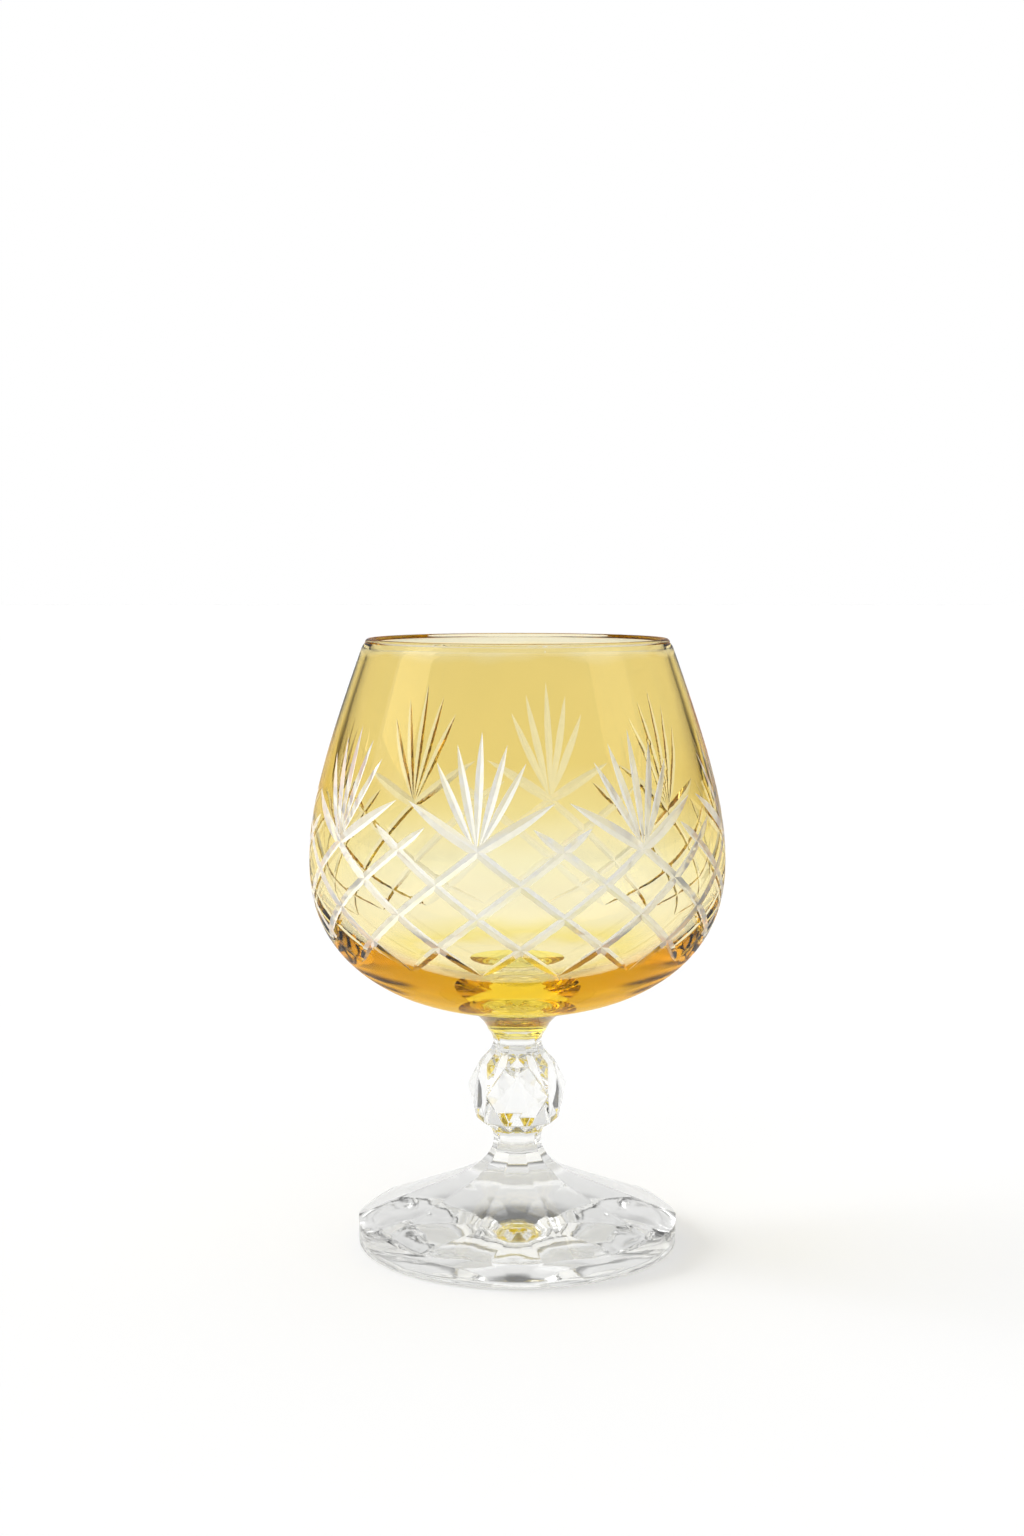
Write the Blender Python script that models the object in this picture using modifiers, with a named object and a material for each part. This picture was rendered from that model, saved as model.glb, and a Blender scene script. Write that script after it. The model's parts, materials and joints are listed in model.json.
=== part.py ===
"""Cut-crystal snifter: an amber-stained bowl on a clear stem with a faceted knop and a panelled foot.

Each gather of glass is its own solid, stacked along +Z from the foot's standing ring at z = 0.
Metres, +Z up, with the front of the glass towards -Y. Azimuths are measured from the front, towards +X.
"""

import math
import random

import bmesh
import bpy
from mathutils import Vector

MM = 0.001

# Seam that is left between two gathers of glass where they are fused
FUSED_GAP = 0.3 * MM
CRYSTAL_ROUGHNESS = 0.02
CRYSTAL_IOR = 1.54

# Foot: ten flat panels that spread from the neck to a round rim
FOOT_DIAMETER = 65.7 * MM
FOOT_HEIGHT = 19.3 * MM
FOOT_RIM_HEIGHT = 5.7 * MM
FOOT_SHOULDER_DIAMETER = 29.0 * MM
FOOT_SHOULDER_HEIGHT = 12.9 * MM
FOOT_EDGE_ROUNDING = 1.0 * MM
STANDING_RING_WIDTH = 3.4 * MM
UNDERSIDE_HOLLOW = 1.4 * MM
HOLLOW_BLEND = 7.0 * MM

# Stem: two panelled necks with a faceted ball between them
STEM_PANELS = 10
NECK_DIAMETER = 9.8 * MM
NECK_END_DIAMETER = 11.2 * MM
LOWER_NECK_HEIGHT = 4.3 * MM
UPPER_NECK_HEIGHT = 3.5 * MM
KNOP_FACETS = 5
KNOP_DIAMETER = 21.6 * MM
KNOP_HEIGHT = 16.0 * MM
KNOP_TOP_DIAMETER = 15.6 * MM
KNOP_BASE_DIAMETER = 17.0 * MM
KNOP_TOP_SHOULDER = 2.2 * MM
KNOP_BASE_SHOULDER = 1.7 * MM
KNOP_GIRDLE_HEIGHT = 8.2 * MM

# Merese: the round button of glass that carries the bowl
MERESE_HEIGHT = 4.7 * MM
MERESE_DIAMETER = 21.4 * MM
PANEL_REACH = 3.0 * MM

# Bowl: a blown shell, widest at the belly and drawn in at the mouth
BOWL_HEIGHT = 75.7 * MM
BOWL_DIAMETER = 85.0 * MM
MOUTH_DIAMETER = 62.0 * MM
BELLY_HEIGHT = 30.7 * MM
SHOULDER_POWER = 1.55
BODY_ROUNDNESS = 2.3
RIM_WALL = 1.6 * MM
BELLY_WALL = 2.6 * MM
FLOOR_THICKNESS = 5.0 * MM

# Wheel cuts: a lattice of mitre grooves, with a fan over every second crossing of its top row
FANS = 8
CROSSING_PITCH = 180.0 / FANS
FIRST_FAN_AZIMUTH = -10.5
FAN_BASE_ABOVE_BELLY = 7.0 * MM
ROW_PITCH = 6.2 * MM
LATTICE_ROWS = 4
SHORT_ARM_LENGTH = 4.4 * MM
FAN_ARM_STUB = 2.0 * MM
LONG_ARM_LENGTH = 17.5 * MM
LONG_ARM_TAIL = 5.5 * MM
LONG_ARM_SLOPE = 58.0
BLADES = 5
BLADE_SPREAD = 14.0
BLADE_LENGTH = 22.5 * MM
BLADE_SHORTENING = 1.9 * MM
BLADE_START = 1.8 * MM
MITRE_ANGLE = 106.0
LATTICE_CUT_WIDTH = 1.7 * MM
ARM_CUT_WIDTH = 2.5 * MM
BLADE_CUT_WIDTH = 1.9 * MM
WHEEL_RADIUS = 32.0 * MM
HAND_WANDER = 0.2 * MM
HAND_SEED = 5

# Facets of the curved solids, points of a cutter's path, and how far a cutter stands clear of what it cuts
ROUND_SEGMENTS = 60
BOWL_SEGMENTS = 48
CURVE_STEPS = 7
EDGE_STEPS = 4
INSIDE_ROWS = (9, 7)
OUTSIDE_ROWS = (9, 7)
LATTICE_STEPS = 8
ARM_STEPS = 6
BLADE_STEPS = 4
CUTTER_CLEARANCE = 0.35 * MM
ROW_CROWDING = 2.0
MERGE_DISTANCE = 0.01 * MM
NORMAL_STEP = 0.2 * MM
FLAT_ANGLE = 1.0

AMBER = (0.84, 0.665, 0.19)
CRYSTAL = (0.96, 0.97, 0.95)


def clear_scene():
    for old in list(bpy.data.objects):
        bpy.data.objects.remove(old)


def collection(name):
    made = bpy.data.collections.new(name)
    bpy.context.scene.collection.children.link(made)
    return made


def glass_material(name, colour):
    made = bpy.data.materials.new(name)
    made.use_nodes = True
    shader = made.node_tree.nodes["Principled BSDF"]
    shader.inputs["Base Color"].default_value = (*colour, 1.0)
    shader.inputs["Roughness"].default_value = CRYSTAL_ROUGHNESS
    shader.inputs["Metallic"].default_value = 0.0
    shader.inputs["Transmission Weight"].default_value = 1.0
    shader.inputs["IOR"].default_value = CRYSTAL_IOR
    return made


def add_object(name, mesh, home, material=None):
    made = bpy.data.objects.new(name, mesh)
    home.objects.link(made)
    if material:
        mesh.materials.append(material)
    return made


def hide_cutter(cutter):
    cutter.hide_render = True
    cutter.display_type = "WIRE"
    return cutter


def turned(name, outline, steps, home, material=None):
    """A solid turned about Z from an outline of (radius, height) pairs that runs down its outer side."""
    mesh = bpy.data.meshes.new(name)
    points = [(radius, 0.0, height) for radius, height in outline]
    edges = [(i, i + 1) for i in range(len(points) - 1)]
    mesh.from_pydata(points, edges, [])
    made = add_object(name, mesh, home, material)
    screw = made.modifiers.new("Turn", "SCREW")
    screw.axis = "Z"
    screw.angle = math.tau
    screw.steps = steps
    screw.render_steps = steps
    screw.use_merge_vertices = True
    screw.merge_threshold = MERGE_DISTANCE
    screw.use_smooth_shade = steps > STEM_PANELS
    return made


def trim(made, blank):
    """Keeps what lies inside a blank."""
    cut = made.modifiers.new("Trim", "BOOLEAN")
    cut.operation = "INTERSECT"
    cut.solver = "EXACT"
    cut.object = hide_cutter(blank)


def arc(centre, radius, start, end, count):
    """Points of a circular arc in the outline's plane, with angles in degrees from the radial axis."""
    points = []
    for i in range(count + 1):
        angle = math.radians(start + (end - start) * i / count)
        points.append((centre[0] + radius * math.cos(angle), centre[1] + radius * math.sin(angle)))
    return points


def quadratic(start, pull, end, count):
    """Points of a curve that leaves start towards pull and arrives at end from pull."""
    points = []
    for i in range(count + 1):
        t = i / count
        a, b, c = (1 - t) ** 2, 2 * t * (1 - t), t * t
        points.append(tuple(a * p + b * q + c * r for p, q, r in zip(start, pull, end)))
    return points


class Levels:
    """Heights of the seams, counted up from the table."""

    foot_top = FOOT_HEIGHT
    lower_neck_base = foot_top + FUSED_GAP
    lower_neck_top = lower_neck_base + LOWER_NECK_HEIGHT
    knop_base = lower_neck_top + FUSED_GAP
    knop_top = knop_base + KNOP_HEIGHT
    upper_neck_base = knop_top + FUSED_GAP
    upper_neck_top = upper_neck_base + UPPER_NECK_HEIGHT
    merese_base = upper_neck_top + FUSED_GAP
    merese_top = merese_base + MERESE_HEIGHT
    bowl_base = merese_top + FUSED_GAP
    belly = bowl_base + BELLY_HEIGHT
    rim = bowl_base + BOWL_HEIGHT


def neck(name, base, top, home, material):
    """A waisted collar with flat panels: each end is as wide as the piece it is fused to."""
    waist = NECK_DIAMETER / 2
    end = NECK_END_DIAMETER / 2
    pull = (2 * waist - end, (base + top) / 2)
    side = quadratic((end, top), pull, (end, base), CURVE_STEPS)
    outline = [(0.0, top), *side, (0.0, base)]
    return turned(name, outline, STEM_PANELS, home, material)


def ring(radius, height, count, turn):
    points = []
    for i in range(count):
        angle = math.radians(turn) + math.tau * i / count
        points.append(Vector((radius * math.cos(angle), radius * math.sin(angle), height)))
    return points


def knop(home, material):
    """A faceted ball: broad facets meet at the points of its girdle, with a triangle between each pair."""
    half_panel = 180.0 / STEM_PANELS
    base = Levels.knop_base
    top = Levels.knop_top
    girdle = ring(KNOP_DIAMETER / 2, base + KNOP_GIRDLE_HEIGHT, KNOP_FACETS, half_panel)
    upper = ring(KNOP_TOP_DIAMETER / 2, top - KNOP_TOP_SHOULDER, STEM_PANELS, 0.0)
    lower = ring(KNOP_BASE_DIAMETER / 2, base + KNOP_BASE_SHOULDER, STEM_PANELS, 0.0)
    shape = bmesh.new()
    for point in girdle + upper + lower:
        shape.verts.new(point)
    bmesh.ops.convex_hull(shape, input=shape.verts)
    flat = math.radians(FLAT_ANGLE)
    bmesh.ops.dissolve_limit(shape, angle_limit=flat, verts=shape.verts, edges=shape.edges)
    for height, up in ((top, 1.0), (base, -1.0)):
        add_shoulder(shape, height, up)
    mesh = bpy.data.meshes.new("knop")
    shape.to_mesh(mesh)
    shape.free()
    return add_object("knop", mesh, home, material)


def add_shoulder(shape, height, up):
    """Draws the ball's flat end out to the neck that it is fused to."""
    cap = max(shape.faces, key=lambda face: face.normal.z * up)
    reach = Vector((0.0, 0.0, height - cap.calc_center_median().z))
    narrowing = NECK_END_DIAMETER / 2 / max(corner.co.xy.length for corner in cap.verts)
    drawn = bmesh.ops.extrude_discrete_faces(shape, faces=[cap])["faces"][0]
    for corner in drawn.verts:
        corner.co = Vector((corner.co.x * narrowing, corner.co.y * narrowing, corner.co.z)) + reach


def merese(home, cutters, material):
    """A round flare under the bowl. The neck's panels run up it and end in arches."""
    base = Levels.merese_base
    top = Levels.merese_top
    neck_end = NECK_END_DIAMETER / 2
    bowl_end = MERESE_DIAMETER / 2
    flare = quadratic((bowl_end, top), (neck_end, base + MERESE_HEIGHT / 2), (neck_end, base), CURVE_STEPS)
    made = turned("merese", [(0.0, top), *flare, (0.0, base)], ROUND_SEGMENTS, home, material)
    clear = CUTTER_CLEARANCE
    wide = bowl_end + PANEL_REACH
    pull = (neck_end, base + PANEL_REACH)
    panels = quadratic((wide, top + clear), pull, (neck_end, base - clear), CURVE_STEPS)
    outline = [(0.0, top + clear), *panels, (0.0, base - clear)]
    trim(made, turned("merese_panels", outline, STEM_PANELS, cutters))
    return made


def foot(home, cutters, material):
    """Ten panels spread from the neck and are trimmed by a round wall, which scallops their outer ends."""
    neck_end = NECK_END_DIAMETER / 2
    wall = FOOT_DIAMETER / 2
    shoulder = (FOOT_SHOULDER_DIAMETER / 2, FOOT_SHOULDER_HEIGHT)
    rim_slope = (FOOT_SHOULDER_HEIGHT - FOOT_RIM_HEIGHT) / (wall - shoulder[0])
    beyond = wall / math.cos(math.pi / STEM_PANELS) + CUTTER_CLEARANCE
    beyond_height = FOOT_RIM_HEIGHT - rim_slope * (beyond - wall)
    flare_pull = (neck_end, FOOT_SHOULDER_HEIGHT + rim_slope * (shoulder[0] - neck_end))
    flare = quadratic((neck_end, FOOT_HEIGHT), flare_pull, shoulder, CURVE_STEPS)
    bottom = -CUTTER_CLEARANCE
    outline = [(0.0, FOOT_HEIGHT), *flare, (beyond, beyond_height), (beyond, bottom), (0.0, bottom)]
    made = turned("foot", outline, STEM_PANELS, home, material)
    trim(made, foot_wall(cutters))
    return made


def foot_wall(cutters):
    """The round blank that the foot is trimmed to: its wall, its standing ring and the hollow underneath."""
    wall = FOOT_DIAMETER / 2
    edge = FOOT_EDGE_ROUNDING
    top = FOOT_HEIGHT + CUTTER_CLEARANCE
    inner = wall - edge - STANDING_RING_WIDTH
    lower_edge = arc((wall - edge, edge), edge, 0.0, -90.0, EDGE_STEPS)
    hollow_pull = (inner - HOLLOW_BLEND, UNDERSIDE_HOLLOW)
    hollow = quadratic((inner, 0.0), hollow_pull, (0.0, UNDERSIDE_HOLLOW), CURVE_STEPS)
    outline = [(0.0, top), (wall, top), *lower_edge, *hollow]
    return turned("foot_wall", outline, ROUND_SEGMENTS, cutters)


def outer_radius(height):
    """Radius of the bowl's outside at a height: rounded below the belly, drawn in to the mouth above."""
    belly = BOWL_DIAMETER / 2
    if height >= Levels.belly:
        rise = (height - Levels.belly) / (Levels.rim - Levels.belly)
        return belly - (belly - MOUTH_DIAMETER / 2) * rise**SHOULDER_POWER
    land = MERESE_DIAMETER / 2 / belly
    end = (1 - land**BODY_ROUNDNESS) ** (1 / BODY_ROUNDNESS)
    drop = (Levels.belly - height) / BELLY_HEIGHT * end
    return belly * (1 - drop**BODY_ROUNDNESS) ** (1 / BODY_ROUNDNESS)


def inner_radius(height):
    belly = BOWL_DIAMETER / 2 - BELLY_WALL
    mouth = MOUTH_DIAMETER / 2 - RIM_WALL
    if height >= Levels.belly:
        rise = (height - Levels.belly) / (Levels.rim - Levels.belly)
        return belly - (belly - mouth) * rise**SHOULDER_POWER
    drop = min(1.0, (Levels.belly - height) / (BELLY_HEIGHT - FLOOR_THICKNESS))
    return belly * (1 - drop**BODY_ROUNDNESS) ** (1 / BODY_ROUNDNESS)


def wall_heights(low, high, rows):
    """Heights of the rows of facets, which crowd together where the bowl turns under."""
    below, above = rows
    heights = [low + (Levels.belly - low) * (i / below) ** ROW_CROWDING for i in range(below + 1)]
    return heights + [Levels.belly + (high - Levels.belly) * (i + 1) / above for i in range(above)]


def bowl_outline():
    """Up the inside from the floor, over the rounded lip and down the outside to the land on the merese."""
    floor = Levels.bowl_base + FLOOR_THICKNESS
    lip = RIM_WALL / 2
    lip_centre = (MOUTH_DIAMETER / 2 - lip, Levels.rim - lip)
    inside = wall_heights(floor, lip_centre[1], INSIDE_ROWS)
    outside = wall_heights(Levels.bowl_base, lip_centre[1], OUTSIDE_ROWS)
    points = [(inner_radius(height), height) for height in inside[:-1]]
    points += arc(lip_centre, lip, 180.0, 0.0, EDGE_STEPS)
    points += [(outer_radius(height), height) for height in reversed(outside[:-1])]
    return [*points, (0.0, Levels.bowl_base)]


class Surface:
    """The bowl's outside, measured along its outline from the land on the merese up to the rim."""

    samples = 400

    def __init__(self):
        low, high = Levels.bowl_base, Levels.rim
        self.heights = [low + (high - low) * i / self.samples for i in range(self.samples + 1)]
        self.runs = [0.0]
        for low, high in zip(self.heights, self.heights[1:]):
            step = math.hypot(high - low, outer_radius(high) - outer_radius(low))
            self.runs.append(self.runs[-1] + step)

    def height_at(self, run):
        for i, passed in enumerate(self.runs[1:]):
            if run <= passed:
                share = (run - self.runs[i]) / (passed - self.runs[i])
                return self.heights[i] + share * (self.heights[i + 1] - self.heights[i])
        return self.heights[-1]

    def run_at(self, height):
        share = (height - self.heights[0]) / (self.heights[-1] - self.heights[0]) * self.samples
        i = min(int(share), self.samples - 1)
        return self.runs[i] + (share - i) * (self.runs[i + 1] - self.runs[i])

    def point(self, azimuth, run):
        height = self.height_at(run)
        angle = math.radians(azimuth)
        radius = outer_radius(height)
        return Vector((radius * math.sin(angle), -radius * math.cos(angle), height))

    def normal(self, azimuth, run):
        turn = math.degrees(NORMAL_STEP / outer_radius(self.height_at(run)))
        up = self.point(azimuth, run + NORMAL_STEP) - self.point(azimuth, run - NORMAL_STEP)
        round_bowl = self.point(azimuth + turn, run) - self.point(azimuth - turn, run)
        return round_bowl.cross(up).normalized()

    def length(self, path):
        return sum((self.point(*a) - self.point(*b)).length for a, b in zip(path, path[1:]))

    def line(self, azimuth, run, slope, start, end, steps):
        """A straight cut through a point, at a slope from the meridian, between two distances from it."""
        lean = math.radians(slope)
        step = (end - start) / steps
        run += start * math.cos(lean)
        azimuth += math.degrees(start * math.sin(lean) / outer_radius(self.height_at(run)))
        points = [(azimuth, run)]
        for _ in range(steps):
            azimuth += math.degrees(step * math.sin(lean) / outer_radius(self.height_at(run)))
            run += step * math.cos(lean)
            points.append((azimuth, run))
        return points


def groove(name, surface, path, depths, cutters):
    """A V-shaped cutter that follows a path on the bowl, as deep at each point as the wheel goes."""
    flare = math.tan(math.radians(MITRE_ANGLE / 2))
    points = [surface.point(*place) for place in path]
    shape = bmesh.new()
    sections = []
    for i, place in enumerate(path):
        out = surface.normal(*place)
        along = points[min(i + 1, len(points) - 1)] - points[max(i - 1, 0)]
        across = along.cross(out).normalized()
        half_width = (depths[i] + CUTTER_CLEARANCE) * flare
        crest = points[i] + out * CUTTER_CLEARANCE
        corners = (points[i] - out * depths[i], crest + across * half_width, crest - across * half_width)
        sections.append([shape.verts.new(corner) for corner in corners])
    for before, after in zip(sections, sections[1:]):
        for j in range(3):
            shape.faces.new((before[j], before[j - 1], after[j - 1], after[j]))
    shape.faces.new(sections[0])
    shape.faces.new(reversed(sections[-1]))
    bmesh.ops.recalc_face_normals(shape, faces=shape.faces)
    mesh = bpy.data.meshes.new(name)
    shape.to_mesh(mesh)
    shape.free()
    return hide_cutter(add_object(name, mesh, cutters))


def depth_of(width):
    return width / 2 / math.tan(math.radians(MITRE_ANGLE / 2))


def plunge(width, count):
    """Depths of a single plunge of the wheel: deepest in the middle, and nothing at both ends."""
    return [depth_of(width) * (1 - (2 * i / count - 1) ** 2) for i in range(count + 1)]


def run_out(width, length, count):
    """Depths of a long cut: full depth along it, with the wheel's own curve where it comes out."""
    full = depth_of(width)
    reach = math.sqrt(2 * WHEEL_RADIUS * full)
    depths = []
    for i in range(count + 1):
        from_end = length * min(i, count - i) / count
        depths.append(full - max(0.0, reach - from_end) ** 2 / (2 * WHEEL_RADIUS))
    return depths


def lattice_line(azimuth, top_run, side, reach):
    """A cut from a short arm above the top row, through the crossing there, down to the last row."""
    pitch = CROSSING_PITCH / 2 * side
    rows = reach / ROW_PITCH
    path = []
    for i in range(LATTICE_STEPS + 1):
        row = -rows + (LATTICE_ROWS + rows) * i / LATTICE_STEPS
        path.append((azimuth + pitch * row, top_run - ROW_PITCH * row))
    return path


def by_hand(path, cutter_hand):
    """The path as the cutter's hand sets it, a little off its mark round the bowl and along its outline."""
    turn = math.degrees(cutter_hand.uniform(-HAND_WANDER, HAND_WANDER) / (BOWL_DIAMETER / 2))
    shift = cutter_hand.uniform(-HAND_WANDER, HAND_WANDER)
    return [(azimuth + turn, run + shift) for azimuth, run in path]


def cut_pattern(cutters):
    surface = Surface()
    cutter_hand = random.Random(HAND_SEED)
    top_run = surface.run_at(Levels.belly + FAN_BASE_ABOVE_BELLY)
    for crossing in range(2 * FANS):
        azimuth = FIRST_FAN_AZIMUTH + crossing * CROSSING_PITCH
        with_fan = crossing % 2 == 0
        for side, hand in ((1.0, "right"), (-1.0, "left")):
            path = lattice_line(azimuth, top_run, side, FAN_ARM_STUB if with_fan else SHORT_ARM_LENGTH)
            depths = run_out(LATTICE_CUT_WIDTH, surface.length(path), LATTICE_STEPS)
            groove(f"cut_{crossing:02d}_{hand}", surface, by_hand(path, cutter_hand), depths, cutters)
            if with_fan:
                slope = -side * LONG_ARM_SLOPE
                path = surface.line(azimuth, top_run, slope, -LONG_ARM_TAIL, LONG_ARM_LENGTH, ARM_STEPS)
                depths = plunge(ARM_CUT_WIDTH, ARM_STEPS)
                groove(f"arm_{crossing:02d}_{hand}", surface, by_hand(path, cutter_hand), depths, cutters)
        if with_fan:
            for blade in range(BLADES):
                place = blade - (BLADES - 1) / 2
                length = BLADE_LENGTH - BLADE_SHORTENING * abs(place)
                path = surface.line(azimuth, top_run, BLADE_SPREAD * place, BLADE_START, length, BLADE_STEPS)
                depths = plunge(BLADE_CUT_WIDTH, BLADE_STEPS)
                groove(f"blade_{crossing:02d}_{blade}", surface, by_hand(path, cutter_hand), depths, cutters)


def bowl(home, cutters, material):
    made = turned("bowl", bowl_outline(), BOWL_SEGMENTS, home, material)
    cut_pattern(cutters)
    cut = made.modifiers.new("Wheel cuts", "BOOLEAN")
    cut.operation = "DIFFERENCE"
    cut.solver = "EXACT"
    cut.operand_type = "COLLECTION"
    cut.collection = cutters
    return made


def main():
    clear_scene()
    glass = collection("Snifter")
    blanks = collection("Blanks")
    wheel_cuts = collection("Wheel cuts")
    amber = glass_material("amber_crystal", AMBER)
    crystal = glass_material("clear_crystal", CRYSTAL)
    foot(glass, blanks, crystal)
    neck("lower_neck", Levels.lower_neck_base, Levels.lower_neck_top, glass, crystal)
    knop(glass, crystal)
    neck("upper_neck", Levels.upper_neck_base, Levels.upper_neck_top, glass, crystal)
    merese(glass, blanks, crystal)
    bowl(glass, wheel_cuts, amber)


main()
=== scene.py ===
"""Looks of a cut-crystal snifter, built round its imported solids.

An amber-stained bowl, wheel-cut through the stain, stands on a clear pressed stem with a faceted knop and a
panelled foot. The gathers of glass are fused, so light passes from one to the next as through a single piece.
Metres, +Z up, with the front of the glass towards -Y. Azimuths are measured from the front, towards +X.
"""

import bisect
import json
import math
import random

import bpy
from mathutils import Matrix, Vector

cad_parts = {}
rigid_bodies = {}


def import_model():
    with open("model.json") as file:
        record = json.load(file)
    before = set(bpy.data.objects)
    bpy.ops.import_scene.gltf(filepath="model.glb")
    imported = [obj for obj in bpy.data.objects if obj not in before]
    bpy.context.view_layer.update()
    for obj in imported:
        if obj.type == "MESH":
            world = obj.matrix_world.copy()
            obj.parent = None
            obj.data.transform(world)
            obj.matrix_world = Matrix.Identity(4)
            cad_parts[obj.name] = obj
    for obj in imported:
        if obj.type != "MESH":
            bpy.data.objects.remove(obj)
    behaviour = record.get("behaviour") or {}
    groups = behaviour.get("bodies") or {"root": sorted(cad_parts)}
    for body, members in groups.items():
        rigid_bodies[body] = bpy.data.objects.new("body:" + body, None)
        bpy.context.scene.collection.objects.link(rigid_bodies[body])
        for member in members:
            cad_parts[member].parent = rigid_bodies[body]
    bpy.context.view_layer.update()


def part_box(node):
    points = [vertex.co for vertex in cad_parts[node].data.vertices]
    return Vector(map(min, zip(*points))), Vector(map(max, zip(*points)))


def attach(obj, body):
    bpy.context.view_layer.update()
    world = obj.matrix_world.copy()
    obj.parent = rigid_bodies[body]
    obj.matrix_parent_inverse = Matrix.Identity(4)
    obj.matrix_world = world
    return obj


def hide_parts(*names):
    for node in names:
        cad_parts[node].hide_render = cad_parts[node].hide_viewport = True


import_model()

MM = 0.001

# Modelling
ROUND_STEPS = 240
CURVE_ROWS = 14
EDGE_STEPS = 8
CLEAR = 0.35 * MM
SAME_POINT = 0.0005 * MM
SAME_LEVEL = 0.001 * MM
CAP_LEVEL = 0.005 * MM
FLAT_ANGLE = 1.0
BOWL_SMOOTH = 12.0
STEM_SMOOTH = 30.0

# Bowl
BELLY_HEIGHT = 80.0 * MM
BELLY_RADIUS = 42.45 * MM
MOUTH_RADIUS = 30.9 * MM
SHOULDER_BEND = 0.45
BODY_ROUNDNESS = 2.3
LAND_RADIUS = 10.7 * MM
RIM_WALL = 1.6 * MM
BELLY_WALL = 2.6 * MM
FLOOR_THICKNESS = 5.0 * MM
OUTER_ROWS = 110
INNER_ROWS = 60
LIP_STEPS = 20

# Wheel cuts
FANS = 8
FIRST_FAN = -10.5
FAN_BASE_HEIGHT = 86.5 * MM
ROW_PITCH = 6.35 * MM
ROWS = 4
FAN_STUB = 2.0 * MM
SHORT_ARM = 4.4 * MM
ARM_SLOPE = 58.0
ARM_TAIL = 5.5 * MM
ARM_LENGTH = 17.5 * MM
BLADES = 5
BLADE_SPREAD = 14.0
BLADE_START = 0.6 * MM
BLADE_LENGTH = 23.0 * MM
BLADE_SHORTENING = 1.9 * MM
MITRE_SIDES = 8
LATTICE_WIDTH = 1.7 * MM
ARM_WIDTH = 2.4 * MM
BLADE_WIDTH = 1.7 * MM
BACK_FROM = 120.0
BACK_REACH = 1.2
WHEEL_RADIUS = 32.0 * MM
CUT_STEPS = 16
HAND_SEED = 5
HAND_WANDER = 0.25

# Stem and foot
PANELS = 10
NECK_END = 5.6 * MM
LOWER_WAIST = (4.9 * MM, 21.75 * MM)
UPPER_WAIST = (5.0 * MM, 42.3 * MM)
FOOT_SHOULDER = (14.5 * MM, 12.9 * MM)
FOOT_RIM = (32.85 * MM, 5.7 * MM)
FOOT_EDGE = 1.0 * MM
STANDING_RING = 3.4 * MM
HOLLOW = 3.0 * MM
HOLLOW_BLEND = 14.0 * MM
RIDGE_POLISH = 0.3 * MM
RIDGE_BAND = 4.5
KNOP_POINTS = 5
KNOP_GIRDLE = (10.8 * MM, 32.4 * MM)
KNOP_UPPER = (7.8 * MM, 38.0 * MM)
KNOP_LOWER = (8.5 * MM, 25.9 * MM)
KNOP_POLISH = 0.22 * MM
MERESE_PULL = 45.0 * MM
MERESE_PANELS = 3.0 * MM
FLARE_PULL = (5.0 * MM, 45.9 * MM)

# Finishes
CRYSTAL_IOR = 1.53
# Height of the brown line painted along the lip's crest, as painted shade for the rim's dark edge
LIP_LINE = 0.15 * MM
GLOSS_OFF = 0.75
SATIN_CLEAR = 0.58
BRIGHT_CLEAR = 1.0
BRIGHT_BELOW = 66.0 * MM
UNDER_SCALE = 150.0
UNDER_WAVE = 0.12 * MM
SEAM_STAIN = (1.0, 0.91, 0.3)
STAIN_DRIFT = 0.06
MARK_SHARE = 0.04
MARK_RANGE = (0.35, 0.75)
STREAK_RANGE = (0.3, 0.7)
# Share of a lamp's light that comes through the bowl's wall, and through the stem
THIN_SHADE = 0.95
SOLID_SHADE = 0.72
# Colour of the stain by its height on the bowl. Its pale stops are painted light: painted highlights at the
# lower edge and under the lip, and panes painted paler as if lit from behind
STAIN_AND_PAINTED_LIGHT = (
    # Painted highlight: a pale line along the bowl's lower edge
    (49.0 * MM, (1.0, 0.97, 0.86)),
    (50.3 * MM, (1.0, 0.96, 0.80)),
    (52.5 * MM, (0.97, 0.84, 0.22)),
    (55.0 * MM, (0.99, 0.91, 0.45)),
    # Painted light: the panes over the lattice painted paler, as if lit from behind
    (58.5 * MM, (1.0, 0.96, 0.80)),
    (66.0 * MM, (1.0, 0.985, 0.93)),
    (74.0 * MM, (1.0, 0.98, 0.83)),
    (84.0 * MM, (0.95, 0.87, 0.50)),
    (95.0 * MM, (0.84, 0.65, 0.205)),
    (121.5 * MM, (0.82, 0.635, 0.205)),
    # Painted highlight: a pale band just under the lip
    (123.5 * MM, (0.87, 0.75, 0.42)),
    (125.0 * MM, (0.87, 0.75, 0.42)),
)
# Colour that the bowl's wall gives to light, by how far it has come through it
DEPTHS = (
    (2.5 * MM, (1.0, 1.0, 0.985)),
    (3.4 * MM, (1.0, 0.955, 0.79)),
    (6.0 * MM, (1.0, 0.955, 0.76)),
    (9.0 * MM, (1.0, 0.96, 0.74)),
    (12.0 * MM, (0.98, 0.93, 0.55)),
    (15.0 * MM, (0.97, 0.91, 0.3)),
    (20.0 * MM, (0.99, 0.95, 0.60)),
    (30.0 * MM, (1.0, 0.97, 0.75)),
)

# Studio
FLOOR_SIZE = 12.0
FLOOR_DROP = 0.2 * MM
FLOOR_COLOUR = 0.7
FLOOR_GLOW = 0.185
SKY_LOW = 0.4
SKY_HIGH = 0.7
# What glass shows of the sky: elevation in degrees, and brightness
GLASS_SKY = ((3.0, 1.0), (6.0, 0.84), (22.0, 0.78), (40.0, 0.2), (60.0, 0.15), (72.0, 1.0))
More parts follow.
